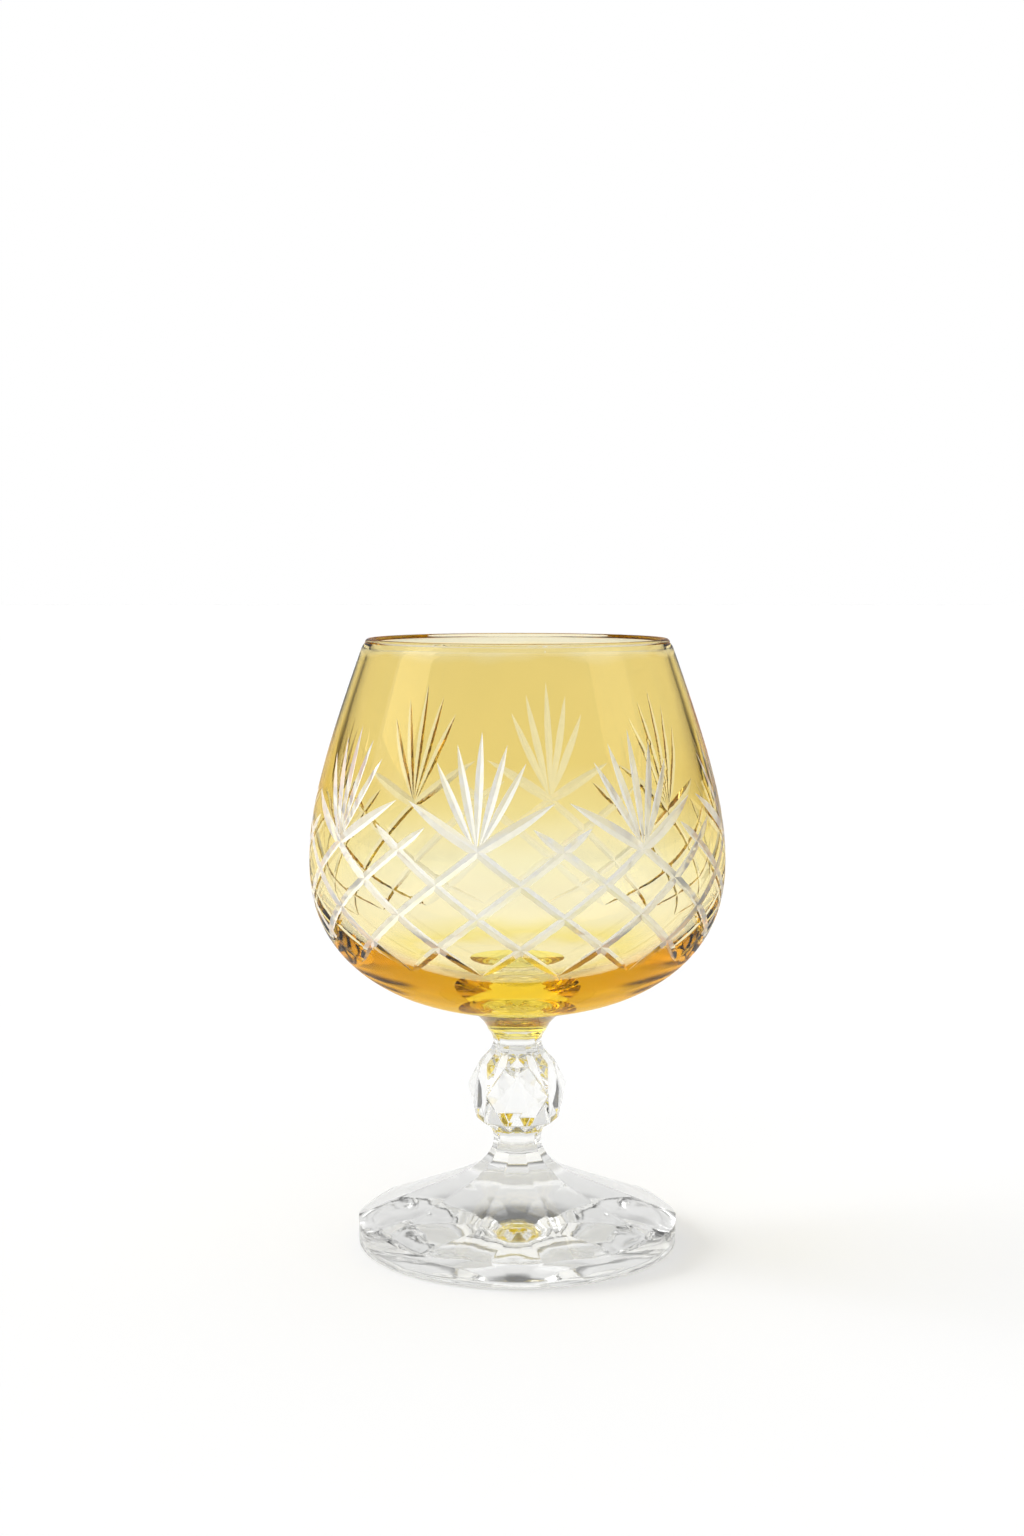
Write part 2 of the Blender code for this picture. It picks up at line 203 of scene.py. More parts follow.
# Dark cards at the left and right: brightness, start and full depth sideways, top in degrees
CARD = 0.04
CARD_FROM = 0.42
CARD_TO = 0.58
CARD_TOP = 9.0
CARD_EDGE = 6.0
LAMP_TARGET = 80.0 * MM
KEY_WAY = (0.9, -0.12, -0.4)
KEY_STRENGTH = 4.5
KEY_SPREAD = 45.0
CAMERA_PLACE = (-1.1 * MM, -458.0 * MM, 141.8 * MM)
CAMERA_TILT = 84.6
CAMERA_LENS = 52.83


def seam(lower, upper):
    """Height at which two gathers are fused: halfway across the gap between their solids."""
    return (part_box(lower)[1].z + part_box(upper)[0].z) / 2


FOOT_SEAM = seam("foot", "lower_neck")
KNOP_BASE = seam("lower_neck", "knop")
KNOP_TOP = seam("knop", "upper_neck")
MERESE_BASE = seam("upper_neck", "merese")
BOWL_SEAM = seam("merese", "bowl")
RIM_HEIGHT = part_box("bowl")[1].z


# Modelling by hand


def deselect():
    if bpy.context.object and bpy.context.object.mode != "OBJECT":
        bpy.ops.object.mode_set(mode="OBJECT")
    bpy.ops.object.select_all(action="DESELECT")


def pick(piece):
    deselect()
    bpy.context.view_layer.objects.active = piece
    piece.select_set(True)


def edit(piece):
    pick(piece)
    bpy.ops.object.mode_set(mode="EDIT")


def leave_edit():
    bpy.ops.object.mode_set(mode="OBJECT")


def start_piece(name):
    """A new piece in edit mode: a small plane, all selected, to be merged or deleted."""
    deselect()
    bpy.ops.mesh.primitive_plane_add(size=MM)
    piece = bpy.context.object
    piece.name = name
    piece.data.name = name
    bpy.ops.object.mode_set(mode="EDIT")
    bpy.ops.mesh.select_mode(type="VERT")
    bpy.ops.mesh.select_all(action="SELECT")
    return piece


def close_shape():
    bpy.ops.mesh.select_all(action="SELECT")
    bpy.ops.mesh.remove_doubles(threshold=SAME_POINT)
    bpy.ops.mesh.normals_make_consistent(inside=False)


def turn(name, outline, steps):
    """One vertex, extruded along an outline of (radius, height) points and spun about the glass's axis."""
    piece = start_piece(name)
    bpy.ops.mesh.merge(type="CENTER")
    points = [Vector((radius, 0.0, height)) for radius, height in outline]
    bpy.ops.transform.translate(value=points[0])
    for before, after in zip(points, points[1:]):
        bpy.ops.mesh.extrude_region_move(TRANSFORM_OT_translate={"value": after - before})
    bpy.ops.mesh.select_all(action="SELECT")
    bpy.ops.mesh.spin(steps=steps, angle=math.tau, center=(0.0, 0.0, 0.0), axis=(0.0, 0.0, 1.0))
    close_shape()
    leave_edit()
    return piece


def trim(piece, blank):
    """Keeps what lies inside a blank."""
    pick(piece)
    cut = piece.modifiers.new("Trim", "BOOLEAN")
    cut.show_viewport = False
    cut.operation = "INTERSECT"
    cut.solver = "MANIFOLD"
    cut.object = blank
    bpy.ops.object.modifier_apply(modifier=cut.name)
    bpy.data.objects.remove(blank)


def select_edges(piece, wanted):
    """Selects the edges whose two ends satisfy a test, in edit mode's edge select."""
    bpy.ops.mesh.select_mode(type="EDGE")
    bpy.ops.mesh.select_all(action="DESELECT")
    leave_edit()
    mesh = piece.data
    for edge in mesh.edges:
        edge.select = wanted(*(mesh.vertices[i].co for i in edge.vertices))
    bpy.ops.object.mode_set(mode="EDIT")


def on_level(a, b, height):
    return abs(a.z - height) < SAME_LEVEL and abs(b.z - height) < SAME_LEVEL


def slice_off(piece, name, low, high):
    """A copy of the stretch of a stem blank between two seams, closed with flat caps."""
    deselect()
    part = piece.copy()
    part.data = piece.data.copy()
    part.name = name
    part.data.name = name
    bpy.context.scene.collection.objects.link(part)
    edit(part)
    for height, keep_below in ((low, False), (high, True)):
        if height is None:
            continue
        bpy.ops.mesh.select_all(action="SELECT")
        bpy.ops.mesh.bisect(
            plane_co=(0.0, 0.0, height),
            plane_no=(0.0, 0.0, 1.0),
            use_fill=True,
            clear_inner=not keep_below,
            clear_outer=keep_below,
        )
    bpy.ops.mesh.select_mode(type="VERT")
    close_shape()
    leave_edit()
    return part


def finish_surface(piece, angle, weighted):
    """Soft shading that keeps real edges, with broad facets left flat where their edges are polished."""
    pick(piece)
    bpy.ops.object.shade_smooth_by_angle(angle=math.radians(angle))
    if weighted:
        level = piece.modifiers.new("Flat facets", "WEIGHTED_NORMAL")
        level.mode = "FACE_AREA"
        level.weight = 80
        level.keep_sharp = True
        bpy.ops.object.modifier_apply(modifier=level.name)


def curve(start, pull, end, count):
    """Points of a curve that leaves start towards pull and arrives at end from pull."""
    points = []
    for i in range(count + 1):
        t = i / count
        a, b, c = (1 - t) ** 2, 2 * t * (1 - t), t * t
        points.append(tuple(a * p + b * q + c * r for p, q, r in zip(start, pull, end)))
    return points


def arc(centre, radius, start, end, count):
    points = []
    for i in range(count + 1):
        angle = math.radians(start + (end - start) * i / count)
        points.append((centre[0] + radius * math.cos(angle), centre[1] + radius * math.sin(angle)))
    return points


# Bowl


def drawn_in(height, belly, mouth):
    """Radius above the belly, which leans in more and more until it runs nearly straight to the mouth."""
    rise = (height - BELLY_HEIGHT) / (RIM_HEIGHT - BELLY_HEIGHT)
    full = math.sqrt(1 + 1 / SHOULDER_BEND**2) - 1
    return belly - (belly - mouth) * (math.sqrt(1 + (rise / SHOULDER_BEND) ** 2) - 1) / full


def outer_radius(height):
    if height >= BELLY_HEIGHT:
        return drawn_in(height, BELLY_RADIUS, MOUTH_RADIUS)
    end = (1 - (LAND_RADIUS / BELLY_RADIUS) ** BODY_ROUNDNESS) ** (1 / BODY_ROUNDNESS)
    drop = (BELLY_HEIGHT - height) / (BELLY_HEIGHT - BOWL_SEAM) * end
    return BELLY_RADIUS * (1 - drop**BODY_ROUNDNESS) ** (1 / BODY_ROUNDNESS)


def inner_radius(height):
    belly = BELLY_RADIUS - BELLY_WALL
    if height >= BELLY_HEIGHT:
        return drawn_in(height, belly, MOUTH_RADIUS - RIM_WALL)
    drop = min(1.0, (BELLY_HEIGHT - height) / (BELLY_HEIGHT - BOWL_SEAM - FLOOR_THICKNESS))
    return belly * (1 - drop**BODY_ROUNDNESS) ** (1 / BODY_ROUNDNESS)


class Skin:
    """One side of the bowl, measured along its outline from its lowest point up to the lip."""

    samples = 1500

    def __init__(self, radius, low, high):
        self.radius = radius
        # The samples crowd together at the bottom, where the outline is nearly level
        self.heights = [low + (high - low) * (i / self.samples) ** 2 for i in range(self.samples + 1)]
        self.runs = [0.0]
        for a, b in zip(self.heights, self.heights[1:]):
            self.runs.append(self.runs[-1] + math.hypot(b - a, radius(b) - radius(a)))

    def between(self, value, keys, values):
        """Reads a list of values at a place between the keys of another."""
        high = min(max(bisect.bisect_right(keys, value), 1), len(keys) - 1)
        low = high - 1
        share = (value - keys[low]) / (keys[high] - keys[low])
        return values[low] + share * (values[high] - values[low])

    def height_at(self, run):
        return self.between(run, self.runs, self.heights)

    def run_at(self, height):
        return self.between(height, self.heights, self.runs)

    def outline(self, rows):
        """Evenly spaced (radius, height) points, from the bottom to the lip."""
        points = []
        for i in range(rows + 1):
            height = self.height_at(self.runs[-1] * i / rows)
            points.append((self.radius(height), height))
        return points

    def point(self, azimuth, run):
        height = self.height_at(run)
        angle = math.radians(azimuth)
        radius = self.radius(height)
        return Vector((radius * math.sin(angle), -radius * math.cos(angle), height))

    def normal(self, azimuth, run):
        step = 0.2 * MM
        around = math.degrees(step / self.radius(self.height_at(run)))
        up = self.point(azimuth, run + step) - self.point(azimuth, run - step)
        across = self.point(azimuth + around, run) - self.point(azimuth - around, run)
        return across.cross(up).normalized()


def bowl_blank():
    """Up the inside from the floor, over the rounded lip and down the outside to the land on the merese."""
    lip = RIM_WALL / 2
    lip_centre = (MOUTH_RADIUS - lip, RIM_HEIGHT - lip)
    inside = Skin(inner_radius, BOWL_SEAM + FLOOR_THICKNESS, lip_centre[1])
    outside = Skin(outer_radius, BOWL_SEAM, lip_centre[1])
    outline = inside.outline(INNER_ROWS)[:-1]
    outline += arc(lip_centre, lip, 180.0, 0.0, LIP_STEPS)
    outline += outside.outline(OUTER_ROWS)[-2::-1]
    outline.append((0.0, BOWL_SEAM))
    return turn("bowl_glass", outline, ROUND_STEPS)


def depth_of(width):
    """Depth of a mitre cut of a given width. The wheel's edge is a corner of a regular polygon."""
    half_corner = math.pi * (MITRE_SIDES - 2) / MITRE_SIDES / 2
    return width / 2 / math.tan(half_corner)


def plunge(width, count):
    """Depths of one dip of the wheel: deepest in the middle and nothing at both ends."""
    return [depth_of(width) * (1 - (2 * i / count - 1) ** 2) for i in range(count + 1)]


def run_out(width, length, count):
    """Depths of a long cut, with the wheel's own curve where it comes out at the ends."""
    full = depth_of(width)
    reach = math.sqrt(2 * WHEEL_RADIUS * full)
    depths = []
    for i in range(count + 1):
        from_end = length * min(i, count - i) / count
        depths.append(full - max(0.0, reach - from_end) ** 2 / (2 * WHEEL_RADIUS))
    return depths


def wheel_stroke(name, skin, path, depths):
    """The wheel's edge, set down at points along a stroke and bridged into one cutter."""
    piece = start_piece(name)
    bpy.ops.mesh.delete(type="VERT")
    points = [skin.point(*place) for place in path]
    for i, place in enumerate(path):
        out = skin.normal(*place)
        along = (points[min(i + 1, len(points) - 1)] - points[max(i - 1, 0)]).normalized()
        across = along.cross(out).normalized()
        # Large enough for the two sides of the cutting corner to come out of the glass
        size = 1.02 * (depths[i] + CLEAR) / (1 - math.cos(math.tau / MITRE_SIDES))
        section = Matrix((across, -out, across.cross(-out))).transposed()
        bpy.ops.mesh.primitive_circle_add(
            vertices=MITRE_SIDES,
            radius=size,
            fill_type="NOTHING",
            location=points[i] + out * (size - depths[i]),
            rotation=section.to_euler(),
        )
    bpy.ops.mesh.select_all(action="SELECT")
    bpy.ops.mesh.bridge_edge_loops()
    bpy.ops.mesh.select_all(action="SELECT")
    bpy.ops.mesh.fill_holes(sides=MITRE_SIDES)
    bpy.ops.mesh.select_all(action="SELECT")
    bpy.ops.mesh.normals_make_consistent(inside=False)
    leave_edit()
    return piece


def straight_stroke(skin, start_run, slope, start, end):
    """A stroke through a point of the fan's meridian, at a slope from it, between two distances from it."""
    lean = math.radians(slope)
    step = (end - start) / CUT_STEPS
    run = start_run + start * math.cos(lean)
    azimuth = math.degrees(start * math.sin(lean) / skin.radius(skin.height_at(run)))
    path = [(azimuth, run)]
    for _ in range(CUT_STEPS):
        azimuth += math.degrees(step * math.sin(lean) / skin.radius(skin.height_at(run)))
        run += step * math.cos(lean)
        path.append((azimuth, run))
    return path


def lattice_stroke(azimuth, top_run, side, reach):
    """A stroke from a short arm above the top row, through the crossing there, down to the last row."""
    pitch = 90.0 / FANS * side
    above = reach / ROW_PITCH
    path = []
    for i in range(CUT_STEPS + 1):
        row = -above + (ROWS + above) * i / CUT_STEPS
        path.append((azimuth + pitch * row, top_run - ROW_PITCH * row))
    return path


def length_of(skin, path):
    return sum((skin.point(*a) - skin.point(*b)).length for a, b in zip(path, path[1:]))


def fan_strokes(skin):
    """All strokes of one fan and of the lattice below it, on the front meridian."""
    top = skin.run_at(FAN_BASE_HEIGHT)
    strokes = []
    for crossing, reach in ((0.0, FAN_STUB), (180.0 / FANS, SHORT_ARM)):
        for side in (1.0, -1.0):
            path = lattice_stroke(crossing, top, side, reach)
            depths = run_out(LATTICE_WIDTH, length_of(skin, path), CUT_STEPS)
            strokes.append(wheel_stroke("lattice_stroke", skin, path, depths))
    for side in (1.0, -1.0):
        path = straight_stroke(skin, top, side * ARM_SLOPE, -ARM_TAIL, ARM_LENGTH)
        strokes.append(wheel_stroke("arm_stroke", skin, path, plunge(ARM_WIDTH, CUT_STEPS)))
    for blade in range(BLADES):
        place = blade - (BLADES - 1) / 2
        length = BLADE_LENGTH - BLADE_SHORTENING * abs(place)
        path = straight_stroke(skin, top, BLADE_SPREAD * place, BLADE_START, length)
        strokes.append(wheel_stroke("blade_stroke", skin, path, plunge(BLADE_WIDTH, CUT_STEPS)))
    return strokes


def reach_higher(blade, share):
    """Draws a blade's stroke out upwards, along the bowl's outside, as on the fans at the back."""
    for vertex in blade.vertices:
        before = vertex.co.z
        after = FAN_BASE_HEIGHT + (before - FAN_BASE_HEIGHT) * share
        if after <= FAN_BASE_HEIGHT:
            continue
        around = vertex.co.xy.length
        widen = (around + outer_radius(after) - outer_radius(before)) / around
        vertex.co = (vertex.co.x * widen, vertex.co.y * widen, after)


def cut_bowl(bowl, satin, bright):
    """Every stroke is copied round the bowl, a little off its mark, and cut through the stain."""
    skin = Skin(outer_radius, BOWL_SEAM, RIM_HEIGHT)
    hand = random.Random(HAND_SEED)
    wheel = bpy.data.collections.new("Wheel")
    bpy.context.scene.collection.children.link(wheel)
    strokes = fan_strokes(skin)
    for stroke in strokes:
        stroke.data.materials.append(satin)
        for fan in range(FANS):
            copy = stroke.copy()
            copy.data = stroke.data.copy()
            place = FIRST_FAN + 360.0 / FANS * fan
            at_back = math.cos(math.radians(place)) < math.cos(math.radians(BACK_FROM))
            if at_back and stroke.name.startswith("blade"):
                reach_higher(copy.data, BACK_REACH)
            azimuth = place + hand.uniform(-HAND_WANDER, HAND_WANDER)
            copy.data.transform(Matrix.Rotation(math.radians(azimuth), 4, "Z"))
            wheel.objects.link(copy)
        bpy.data.objects.remove(stroke)
    pick(bowl)
    cut = bowl.modifiers.new("Wheel cuts", "BOOLEAN")
    cut.show_viewport = False
    cut.operation = "DIFFERENCE"
    cut.solver = "MANIFOLD"
    cut.operand_type = "COLLECTION"
    cut.collection = wheel
    cut.material_mode = "TRANSFER"
    bpy.ops.object.modifier_apply(modifier=cut.name)
    for stroke in list(wheel.objects):
        bpy.data.objects.remove(stroke)
    bpy.data.collections.remove(wheel)
    brighten_low_cuts(bowl.data, satin, bright)


def brighten_low_cuts(mesh, satin, bright):
    """The lowest cuts are polished right through."""
    mesh.materials.append(bright)
    last = len(mesh.materials) - 1
    for face in mesh.polygons:
        if mesh.materials[face.material_index] == satin and face.center.z < BRIGHT_BELOW:
            face.material_index = last


# Stem and foot


def ridge(a, b):
    """True for an edge that runs along a ridge of a panelled blank, away from its axis and caps."""
    if min(a.xy.length, b.xy.length) < 1.0 * MM:
        return False
    around = a.xy.angle_signed(b.xy) if (a.xy - b.xy).length > 0 else 0.0
    return abs(around) < 0.001


def lower_stem():
    """Foot and lower neck in one: ten panels spread from the neck and are trimmed by a round wall."""
    wall, rim = FOOT_RIM
    slope = (FOOT_SHOULDER[1] - rim) / (wall - FOOT_SHOULDER[0])
    beyond = wall / math.cos(math.pi / PANELS) + CLEAR
    waist = LOWER_WAIST
    pull = (waist[0], FOOT_SHOULDER[1] + slope * (FOOT_SHOULDER[0] - waist[0]))
    neck = curve((NECK_END, KNOP_BASE), (waist[0], (KNOP_BASE + waist[1]) / 2), waist, CURVE_ROWS // 2)
    flare = curve(waist, pull, FOOT_SHOULDER, CURVE_ROWS)
    outline = [(0.0, KNOP_BASE), *neck, *flare[1:], (beyond, rim - slope * (beyond - wall))]
    outline += [(beyond, -CLEAR), (0.0, -CLEAR)]
    blank = turn("lower_stem", outline, PANELS)
    edit(blank)
    select_edges(blank, ridge)
    bpy.ops.mesh.bevel(
        offset_type="PERCENT",
        offset_pct=RIDGE_BAND,
        segments=1,
        affect="EDGES",
        clamp_overlap=True,
    )
    leave_edit()
    trim(blank, foot_wall())
    return blank


def foot_wall():
    """Round wall, standing ring and hollow underside of the foot."""
    wall = FOOT_RIM[0]
    top = KNOP_BASE + CLEAR
    inner = wall - FOOT_EDGE - STANDING_RING
    edge = arc((wall - FOOT_EDGE, FOOT_EDGE), FOOT_EDGE, 0.0, -90.0, EDGE_STEPS)
    hollow = curve((inner, 0.0), (inner - HOLLOW_BLEND, HOLLOW), (0.0, HOLLOW), CURVE_ROWS)
    return turn("foot_wall", [(0.0, top), (wall, top), *edge, *hollow], ROUND_STEPS)


def upper_stem():
    """Upper neck and merese in one: the neck's panels run up a round flare and end in arches."""
    waist = UPPER_WAIST
    high = BOWL_SEAM + CLEAR
    neck = curve((NECK_END, KNOP_TOP), (waist[0], (KNOP_TOP + waist[1]) / 2), waist, CURVE_ROWS // 2)
    spread = curve(waist, (waist[0], MERESE_PULL), (LAND_RADIUS + MERESE_PANELS, high), CURVE_ROWS)
    outline = [(0.0, KNOP_TOP), *neck, *spread[1:], (0.0, high)]
    blank = turn("upper_stem", outline, PANELS)
    edit(blank)
    select_edges(blank, ridge)
    bpy.ops.mesh.bevel(offset=RIDGE_POLISH, segments=3, affect="EDGES", clamp_overlap=True)
    leave_edit()
    flare = curve((NECK_END + CLEAR, waist[1]), FLARE_PULL, (LAND_RADIUS, BOWL_SEAM), CURVE_ROWS)
    low = KNOP_TOP - CLEAR
    around = turn("flare", [(0.0, low), (NECK_END + CLEAR, low), *flare, (0.0, BOWL_SEAM)], ROUND_STEPS)
    trim(blank, around)
    return blank


def knop():
    """A ball of broad facets: three rings of points, wrapped, with a shoulder drawn out at each end."""
    piece = start_piece("knop_glass")
    bpy.ops.mesh.delete(type="VERT")
    panel = 360.0 / PANELS
    for (radius, height), count, turned in (
        (KNOP_GIRDLE, KNOP_POINTS, panel / 2),
        (KNOP_UPPER, PANELS, 0.0),
        (KNOP_LOWER, PANELS, 0.0),
    ):
        bpy.ops.mesh.primitive_circle_add(
            vertices=count,
            radius=radius,
            location=(0.0, 0.0, height),
            rotation=(0.0, 0.0, math.radians(turned - 90.0)),
        )
    bpy.ops.mesh.select_all(action="SELECT")
    bpy.ops.mesh.convex_hull()
    bpy.ops.mesh.select_all(action="SELECT")
    bpy.ops.mesh.dissolve_limited(angle_limit=math.radians(FLAT_ANGLE))
    for start, end in ((KNOP_UPPER, KNOP_TOP), (KNOP_LOWER, KNOP_BASE)):
        select_edges(piece, lambda a, b: on_level(a, b, start[1]))
        bpy.ops.mesh.select_mode(type="FACE")
        bpy.ops.mesh.extrude_region_move(TRANSFORM_OT_translate={"value": (0.0, 0.0, end - start[1])})
        narrow = NECK_END / start[0]
        bpy.ops.transform.resize(value=(narrow, narrow, 1.0), center_override=(0.0, 0.0, end))
    select_edges(piece, lambda a, b: not (on_level(a, b, KNOP_TOP) or on_level(a, b, KNOP_BASE)))
    bpy.ops.mesh.bevel(offset=KNOP_POLISH, segments=2, affect="EDGES", clamp_overlap=True)
    bpy.ops.mesh.select_mode(type="VERT")
    close_shape()
    leave_edit()
    return piece


# Finishes


class Finish:
    """A material's node tree, with its Principled shader and short ways to add and join nodes."""

    def __init__(self, name):
        self.material = bpy.data.materials.new(name)
        self.material.use_nodes = True
        self.tree = self.material.node_tree
        self.shader = self.tree.nodes["Principled BSDF"]

    def add(self, kind, **settings):
        node = self.tree.nodes.new(kind)
        for setting, value in settings.items():
            setattr(node, setting, value)
        return node

    def join(self, source, target):
        self.tree.links.new(source, target)

    def from_within(self):
        """The wall from within: the further light has come through it, the deeper its amber."""
        path = self.add("ShaderNodeLightPath")
        far = DEPTHS[-1][0]
        length = self.add("ShaderNodeMapRange")
        length.inputs["From Max"].default_value = far
        colour = self.add("ShaderNodeValToRGB")
        ramp = colour.color_ramp
        ramp.elements[0].color = (1.0, 1.0, 1.0, 1.0)
        ramp.elements[1].color = (*DEPTHS[-1][1], 1.0)
        for at, amber_depth in DEPTHS[:-1]:
            ramp.elements.new(at / far).color = (*amber_depth, 1.0)
        both = self.add("ShaderNodeVectorMath", operation="MULTIPLY")
        glass = self.add("ShaderNodeBsdfGlass")
        glass.inputs["Roughness"].default_value = 0.0
        glass.inputs["IOR"].default_value = CRYSTAL_IOR
        self.join(path.outputs["Ray Length"], length.inputs["Value"])
        self.join(length.outputs["Result"], colour.inputs["Fac"])
        self.join(self.crossing_tint(), both.inputs[0])
        self.join(colour.outputs["Color"], both.inputs[1])
        self.join(both.outputs["Vector"], glass.inputs["Color"])
        self.join(self.fed("Normal"), glass.inputs["Normal"])
        return glass.outputs[0]

    def show_wall(self, outside):
        """Puts one surface on the bowl's wall for light from outside, and another for light from within."""
        inside = self.from_within()
        side = self.add("ShaderNodeNewGeometry")
        either = self.add("ShaderNodeMixShader")
        self.join(side.outputs["Backfacing"], either.inputs["Fac"])
        self.join(outside, either.inputs[1])
        self.join(inside, either.inputs[2])
        self.show(either.outputs[0], THIN_SHADE)

    def softened(self):
        """The glass from outside, with part of its gloss left out."""
        clear = self.add("ShaderNodeBsdfRefraction")
        clear.inputs["Roughness"].default_value = 0.0
        clear.inputs["IOR"].default_value = CRYSTAL_IOR
        glass = self.add("ShaderNodeMixShader")
        glass.inputs["Fac"].default_value = GLOSS_OFF
        self.join(self.crossing_tint(), clear.inputs["Color"])
        self.join(self.fed("Normal"), clear.inputs["Normal"])
        self.join(self.shader.outputs[0], glass.inputs[1])
        self.join(clear.outputs[0], glass.inputs[2])
        return glass.outputs[0]

    def crossing_tint(self):
        """The finish's colour as the Principled shader gives it to light that crosses the surface once."""
        root = self.add("ShaderNodeGamma")
        root.inputs["Gamma"].default_value = 0.5
        self.join(self.fed("Base Color"), root.inputs["Color"])
        return root.outputs["Color"]

    def fed(self, name):
        """What feeds an input of the Principled shader."""
        return self.shader.inputs[name].links[0].from_socket

    def show(self, surface, shade):
        """Puts a surface on the glass, and lets lamps shine through it, dimmed by its shade."""
        path = self.add("ShaderNodeLightPath")
        shadow = self.add("ShaderNodeBsdfTransparent")
        shadow.inputs["Color"].default_value = (shade, shade, shade, 1.0)
        lit = self.add("ShaderNodeMixShader")
        self.join(path.outputs["Is Shadow Ray"], lit.inputs["Fac"])
        self.join(surface, lit.inputs[1])
        self.join(shadow.outputs[0], lit.inputs[2])
        self.join(lit.outputs[0], self.tree.nodes["Material Output"].inputs["Surface"])


def polish_group():
    """Waves left in the glass by fire and hand, with finer marks, and how far they dull the surface."""
    group = bpy.data.node_groups.new("polish", "ShaderNodeTree")
    sockets = group.interface
    for name, default in (("Wave Scale", 120.0), ("Mark Scale", 900.0), ("Smooth", 0.0), ("Dull", 0.05)):
        sockets.new_socket(name, in_out="INPUT", socket_type="NodeSocketFloat").default_value = default
    for name in ("Height", "Roughness", "Streak"):
        sockets.new_socket(name, in_out="OUTPUT", socket_type="NodeSocketFloat")
    nodes, links = group.nodes, group.links
    given = nodes.new("NodeGroupInput")
    result = nodes.new("NodeGroupOutput")
    place = nodes.new("ShaderNodeTexCoord")
    waves = nodes.new("ShaderNodeTexNoise")
    waves.inputs["Detail"].default_value = 1.0
    marks = nodes.new("ShaderNodeTexNoise")
    marks.inputs["Detail"].default_value = 3.0
    for texture, scale in ((waves, "Wave Scale"), (marks, "Mark Scale")):
        links.new(place.outputs["Object"], texture.inputs["Vector"])
        links.new(given.outputs[scale], texture.inputs["Scale"])
    both = nodes.new("ShaderNodeMath")
    both.operation = "MULTIPLY_ADD"
    both.inputs[1].default_value = MARK_SHARE
    links.new(marks.outputs[0], both.inputs[0])
    links.new(waves.outputs[0], both.inputs[2])
    dull = nodes.new("ShaderNodeMapRange")
    dull.inputs["From Min"].default_value, dull.inputs["From Max"].default_value = MARK_RANGE
    links.new(marks.outputs[0], dull.inputs["Value"])
    links.new(given.outputs["Smooth"], dull.inputs["To Min"])
    links.new(given.outputs["Dull"], dull.inputs["To Max"])
    links.new(both.outputs[0], result.inputs["Height"])
    links.new(dull.outputs[0], result.inputs["Roughness"])
    links.new(waves.outputs[0], result.inputs["Streak"])
    return group


POLISH = polish_group()


def new_glass(name, wave_scale, wave_height, mark_scale, dull, smooth=0.0, clear=1.0):
    """Crystal with its own polish. Returns the finish and the polish's streaks, for its colour."""
    finish = Finish(name)
    shader = finish.shader
    shader.inputs["Metallic"].default_value = 0.0
    shader.inputs["IOR"].default_value = CRYSTAL_IOR
    shader.inputs["Transmission Weight"].default_value = clear
    polish = finish.add("ShaderNodeGroup", node_tree=POLISH)
    polish.inputs["Wave Scale"].default_value = wave_scale
    polish.inputs["Mark Scale"].default_value = mark_scale
    polish.inputs["Smooth"].default_value = smooth
    polish.inputs["Dull"].default_value = dull
    bump = finish.add("ShaderNodeBump")
    bump.inputs["Strength"].default_value = 1.0
    bump.inputs["Distance"].default_value = wave_height
    finish.join(polish.outputs["Height"], bump.inputs["Height"])
    finish.join(bump.outputs["Normal"], shader.inputs["Normal"])
    finish.join(polish.outputs["Roughness"], shader.inputs["Roughness"])
    return finish, polish.outputs["Streak"]


def colour_along(streak, finish, dark, light):
    """Colours the glass between two near tints, along the polish's streaks."""
    tint = finish.add("ShaderNodeValToRGB")
    for stop, place, colour in zip(tint.color_ramp.elements, STREAK_RANGE, (dark, light)):
        stop.position = place
        stop.color = (*colour, 1.0)
    finish.join(streak, tint.inputs["Fac"])
    finish.join(tint.outputs["Color"], finish.shader.inputs["Base Color"])


def pressed_crystal(name, wave_scale, wave_height):
    """Clear crystal of the stem and foot, fire-polished after pressing."""
    finish, streak = new_glass(name, wave_scale, wave_height, 1500.0, 0.02)
    colour_along(streak, finish, (0.95, 0.955, 0.935), (0.985, 0.987, 0.975))
    finish.show(finish.shader.outputs[0], SOLID_SHADE)
    return finish.material


def blown_crystal():
    """The bowl's inside, clear and with the slow waves of blown glass."""
    finish, streak = new_glass("blown_crystal", 110.0, 0.02 * MM, 1200.0, 0.015)
    colour_along(streak, finish, (0.965, 0.97, 0.955), (0.99, 0.99, 0.98))
    finish.show_wall(finish.softened())
    return finish.material


def cut_crystal(name, clear, dull):
    """The wheel's cuts: polished after cutting, and left the more satin the less clear they are."""
    finish, streak = new_glass(name, 700.0, 0.01 * MM, 4000.0, dull, smooth=dull / 3, clear=clear)
    colour_along(streak, finish, (0.93, 0.92, 0.88), (0.98, 0.97, 0.94))
    finish.show_wall(finish.shader.outputs[0])
    return finish.material


